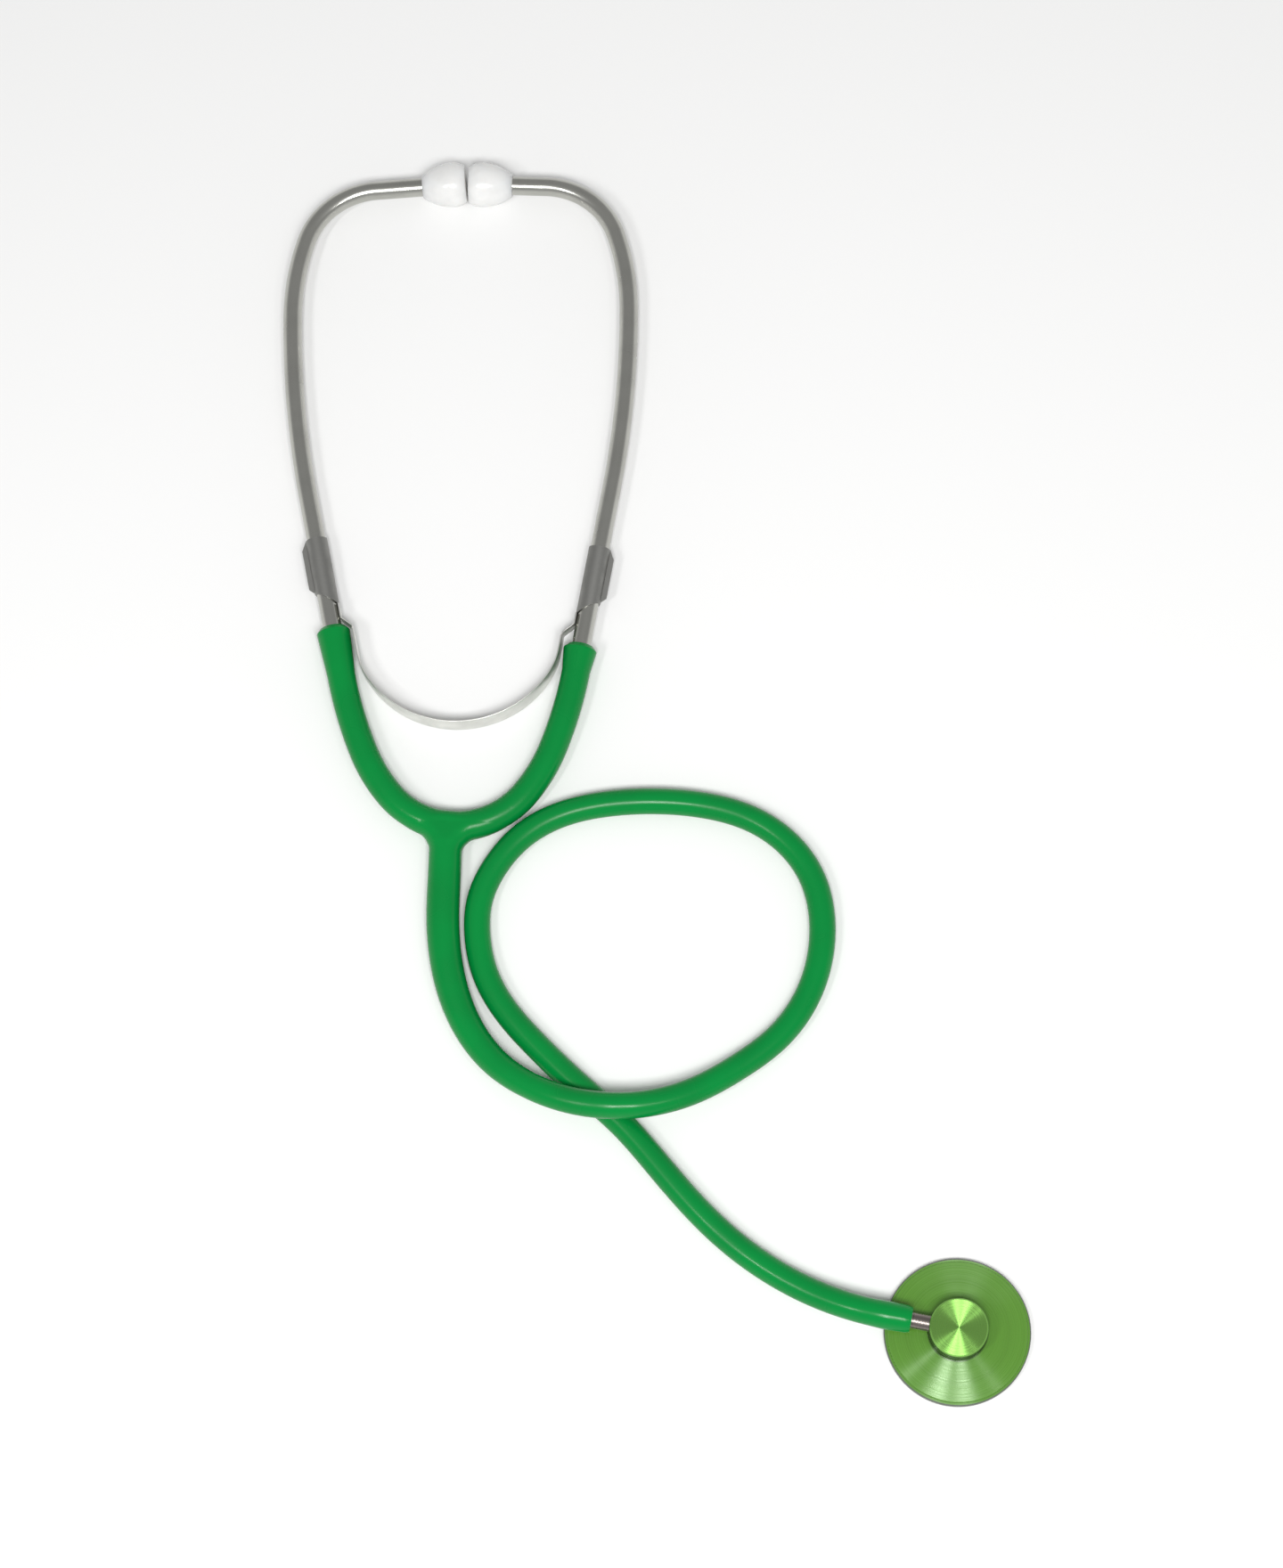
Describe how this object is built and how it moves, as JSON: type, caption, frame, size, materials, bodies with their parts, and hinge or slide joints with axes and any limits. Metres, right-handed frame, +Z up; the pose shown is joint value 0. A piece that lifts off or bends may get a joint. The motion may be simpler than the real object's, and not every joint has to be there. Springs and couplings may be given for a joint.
{
  "type": "toy stethoscope",
  "caption": "Toy stethoscope with sprung metal ear tubes, soft green Y tube laid in one loop, and a turned green sound disc with a rigid diaphragm.",
  "frame": {"origin": "centre of the diaphragm's flat face, on the table that the stethoscope lies on", "axes": "+Z up from the table; +Y along the headset's mirror line towards the ear tips; +X to the headset's right seen from above"},
  "size_m": [0.2358, 0.4172, 0.0171],
  "materials": {
    "ear_tip": "glossy, slightly translucent",
    "ear_tube": "satin polish along the tube",
    "spring_sheet": "dull rolled sheet",
    "soft_tube": "soft glossy vinyl",
    "green_anodised": "turned and anodised green",
    "bare_ring": "bare turned rim",
    "diaphragm": "matt sheet",
    "stem_chrome": "bright plated"
  },
  "bodies": {
    "root": {"leaf_spring": "spring_sheet", "yoke_tube": "soft_tube", "acoustic_tube": "soft_tube", "chestpiece_disc": "green_anodised", "retaining_ring": "bare_ring", "diaphragm": "diaphragm", "metal_stem": "stem_chrome"},
    "left_arm": {"spring_clip_left": "spring_sheet"},
    "right_arm": {"spring_clip_right": "spring_sheet"},
    "left_tube": {"ear_tube_left": "ear_tube"},
    "right_tube": {"ear_tube_right": "ear_tube"},
    "left_tip": {"ear_tip_left": "ear_tip"},
    "right_tip": {"ear_tip_right": "ear_tip"}
  },
  "joints": [
    {"name": "spread_left", "type": "hinge", "parent": "root", "child": "left_arm", "pos_m": [-0.178, 0.197, 0.00581], "axis": [0, -0.0092, 1], "range_deg": [0, 22], "stiffness_Nm_per_rad": 0.6, "deforming": ["leaf_spring", "yoke_tube"]},
    {"name": "spread_right", "type": "hinge", "parent": "root", "child": "right_arm", "pos_m": [-0.13, 0.197, 0.00581], "axis": [0, -0.0092, 1], "range_deg": [-22, 0], "stiffness_Nm_per_rad": 0.6},
    {"name": "twist_left", "type": "hinge", "parent": "left_arm", "child": "left_tube", "pos_m": [-0.19512, 0.23047, 0.00611], "axis": [-0.1874, 0.9822, 0.009], "range_deg": [-20, 20]},
    {"name": "twist_right", "type": "hinge", "parent": "right_arm", "child": "right_tube", "pos_m": [-0.11434, 0.22281, 0.00604], "axis": [0.1874, 0.9822, 0.009], "range_deg": [-20, 20]},
    {"name": "tip_turn_left", "type": "hinge", "parent": "left_tube", "child": "left_tip", "pos_m": [-0.16703, 0.38655, 0.00755], "axis": [0.9983, 0.0576, 0.0005], "continuous": true},
    {"name": "tip_turn_right", "type": "hinge", "parent": "right_tube", "child": "right_tip", "pos_m": [-0.13658, 0.3863, 0.00754], "axis": [-0.9983, 0.0576, 0.0005], "continuous": true}
  ],
  "couplings": [
    {"joint": "spread_right", "follows": "spread_left", "ratio": -1}
  ]
}
